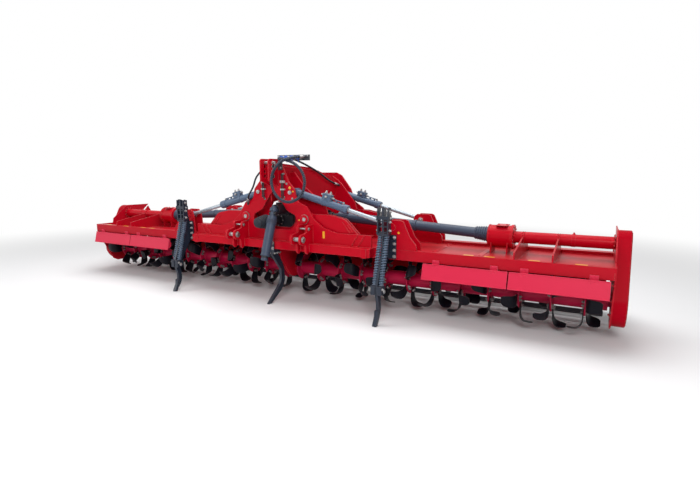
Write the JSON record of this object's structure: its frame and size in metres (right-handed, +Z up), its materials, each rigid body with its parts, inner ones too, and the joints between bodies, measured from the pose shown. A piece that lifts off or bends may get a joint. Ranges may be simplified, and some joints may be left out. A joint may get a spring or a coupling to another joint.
{
  "type": "folding rotavator",
  "caption": "Mounted rotary cultivator with two wings that fold up on hydraulic cylinders, a bladed rotor under each hood and a cage roller behind it",
  "frame": {"origin": "centre of the footprint on the floor", "axes": "+Z up, -Y toward the tractor, +X to the right seen from the front, along the rotors"},
  "size_m": [6.26, 1.5638, 1.492],
  "materials": {
    "red_paint": "gloss",
    "dark_red_paint": "satin",
    "light_red_paint": "gloss",
    "anthracite_paint": "satin",
    "chrome_rod": "polished",
    "guard_plastic": "matte",
    "rubber_boot": "matte",
    "black_cast": "satin",
    "blade_steel": "worn",
    "roller_steel": "satin",
    "bright_steel": "zinc plated",
    "hose_rubber": "matte"
  },
  "bodies": {
    "frame": {"centre_beam": "red_paint", "front_plate": "red_paint", "second_plate": "red_paint", "braces": "red_paint", "rear_plates": "red_paint", "hinge_pins": "bright_steel", "base_pins": "bright_steel", "top_link_ears": "red_paint", "lower_link_clevises": "red_paint", "link_pins": "bright_steel", "gearbox": "black_cast", "pto_guard": "rubber_boot", "centre_tine": "anthracite_paint", "centre_clamp": "anthracite_paint", "valve_blocks": "bright_steel", "hose_loop": "hose_rubber", "hose_left": "hose_rubber", "hose_right": "hose_rubber"},
    "right_wing": {"right_deck": "red_paint", "right_hinge_arms": "red_paint", "right_cylinder_lugs": "red_paint", "right_side_case": "red_paint", "right_drive_tube": "red_paint", "right_drive_shaft": "guard_plastic", "right_deflectors": "light_red_paint", "right_tine_mast": "anthracite_paint", "right_tine_springs": "anthracite_paint", "right_tine_shank": "anthracite_paint", "right_roller_arms": "red_paint"},
    "right_rotor_body": {"right_rotor": "dark_red_paint", "right_blades": "blade_steel"},
    "right_roller": {"right_roller_core": "roller_steel", "right_roller_bars": "roller_steel"},
    "right_gate": {"right_tailgate": "red_paint"},
    "right_front_tube": {"right_front_barrel": "anthracite_paint"},
    "right_front_rod": {"right_front_ram": "chrome_rod"},
    "right_rear_tube": {"right_rear_barrel": "anthracite_paint"},
    "right_rear_rod": {"right_rear_ram": "chrome_rod"},
    "left_wing": {"left_deck": "red_paint", "left_hinge_arms": "red_paint", "left_cylinder_lugs": "red_paint", "left_side_case": "red_paint", "left_drive_tube": "red_paint", "left_drive_shaft": "guard_plastic", "left_deflectors": "light_red_paint", "left_tine_mast": "anthracite_paint", "left_tine_springs": "anthracite_paint", "left_tine_shank": "anthracite_paint", "left_roller_arms": "red_paint"},
    "left_rotor_body": {"left_rotor": "dark_red_paint", "left_blades": "blade_steel"},
    "left_roller": {"left_roller_core": "roller_steel", "left_roller_bars": "roller_steel"},
    "left_gate": {"left_tailgate": "red_paint"},
    "left_front_tube": {"left_front_barrel": "anthracite_paint"},
    "left_front_rod": {"left_front_ram": "chrome_rod"},
    "left_rear_tube": {"left_rear_barrel": "anthracite_paint"},
    "left_rear_rod": {"left_rear_ram": "chrome_rod"},
    "input_drive": {"input_shaft": "guard_plastic"}
  },
  "joints": [
    {"name": "right_fold", "type": "hinge", "parent": "frame", "child": "right_wing", "pos_m": [0.37, -0.11367, 0.873], "axis": [0, -1, 0], "range_deg": [0, 90]},
    {"name": "right_rotor_spin", "type": "hinge", "parent": "right_wing", "child": "right_rotor_body", "pos_m": [1.5, -0.11367, 0.31], "axis": [1, 0, 0], "continuous": true},
    {"name": "right_roller_spin", "type": "hinge", "parent": "right_wing", "child": "right_roller", "pos_m": [1.5, 0.56633, 0.225], "axis": [1, 0, 0], "continuous": true},
    {"name": "right_gate_swing", "type": "hinge", "parent": "right_wing", "child": "right_gate", "pos_m": [1.5, 0.27133, 0.5], "axis": [1, 0, 0], "range_deg": [0, 12]},
    {"name": "right_front_barrel_tilt", "type": "hinge", "parent": "frame", "child": "right_front_tube", "pos_m": [0.2, -0.39367, 1.13], "axis": [0, -1, 0], "range_deg": [0, 87.92]},
    {"name": "right_front_ram_slide", "type": "slide", "parent": "right_front_tube", "child": "right_front_rod", "axis": [0.9669, 0, -0.2552], "range_m": [-0.43471, 0]},
    {"name": "right_rear_barrel_tilt", "type": "hinge", "parent": "frame", "child": "right_rear_tube", "pos_m": [0.2, 0.33633, 1.13], "axis": [0, -1, 0], "range_deg": [0, 87.92]},
    {"name": "right_rear_ram_slide", "type": "slide", "parent": "right_rear_tube", "child": "right_rear_rod", "axis": [0.9669, 0, -0.2552], "range_m": [-0.43471, 0]},
    {"name": "left_fold", "type": "hinge", "parent": "frame", "child": "left_wing", "pos_m": [-0.37, -0.11367, 0.873], "axis": [0, 1, 0], "range_deg": [0, 90]},
    {"name": "left_rotor_spin", "type": "hinge", "parent": "left_wing", "child": "left_rotor_body", "pos_m": [-1.5, -0.11367, 0.31], "axis": [1, 0, 0], "continuous": true},
    {"name": "left_roller_spin", "type": "hinge", "parent": "left_wing", "child": "left_roller", "pos_m": [-1.5, 0.56633, 0.225], "axis": [1, 0, 0], "continuous": true},
    {"name": "left_gate_swing", "type": "hinge", "parent": "left_wing", "child": "left_gate", "pos_m": [-1.5, 0.27133, 0.5], "axis": [1, 0, 0], "range_deg": [0, 12]},
    {"name": "left_front_barrel_tilt", "type": "hinge", "parent": "frame", "child": "left_front_tube", "pos_m": [-0.2, -0.39367, 1.13], "axis": [0, 1, 0], "range_deg": [0, 87.92]},
    {"name": "left_front_ram_slide", "type": "slide", "parent": "left_front_tube", "child": "left_front_rod", "axis": [-0.9669, 0, -0.2552], "range_m": [-0.43471, 0]},
    {"name": "left_rear_barrel_tilt", "type": "hinge", "parent": "frame", "child": "left_rear_tube", "pos_m": [-0.2, 0.33633, 1.13], "axis": [0, 1, 0], "range_deg": [0, 87.92]},
    {"name": "left_rear_ram_slide", "type": "slide", "parent": "left_rear_tube", "child": "left_rear_rod", "axis": [-0.9669, 0, -0.2552], "range_m": [-0.43471, 0]},
    {"name": "input_shaft_lift", "type": "hinge", "parent": "frame", "child": "input_drive", "pos_m": [0.062, -0.58367, 0.96], "axis": [-1, 0, 0], "range_deg": [0, 65]}
  ],
  "couplings": [
    {"joint": "right_front_barrel_tilt", "follows": "right_fold", "ratio": 0.97683},
    {"joint": "right_front_ram_slide", "follows": "right_fold", "m_per_rad": -0.27668},
    {"joint": "right_rear_barrel_tilt", "follows": "right_fold", "ratio": 0.97683},
    {"joint": "right_rear_ram_slide", "follows": "right_fold", "m_per_rad": -0.27668},
    {"joint": "left_front_barrel_tilt", "follows": "left_fold", "ratio": 0.97683},
    {"joint": "left_front_ram_slide", "follows": "left_fold", "m_per_rad": -0.27668},
    {"joint": "left_rear_barrel_tilt", "follows": "left_fold", "ratio": 0.97683},
    {"joint": "left_rear_ram_slide", "follows": "left_fold", "m_per_rad": -0.27668}
  ]
}
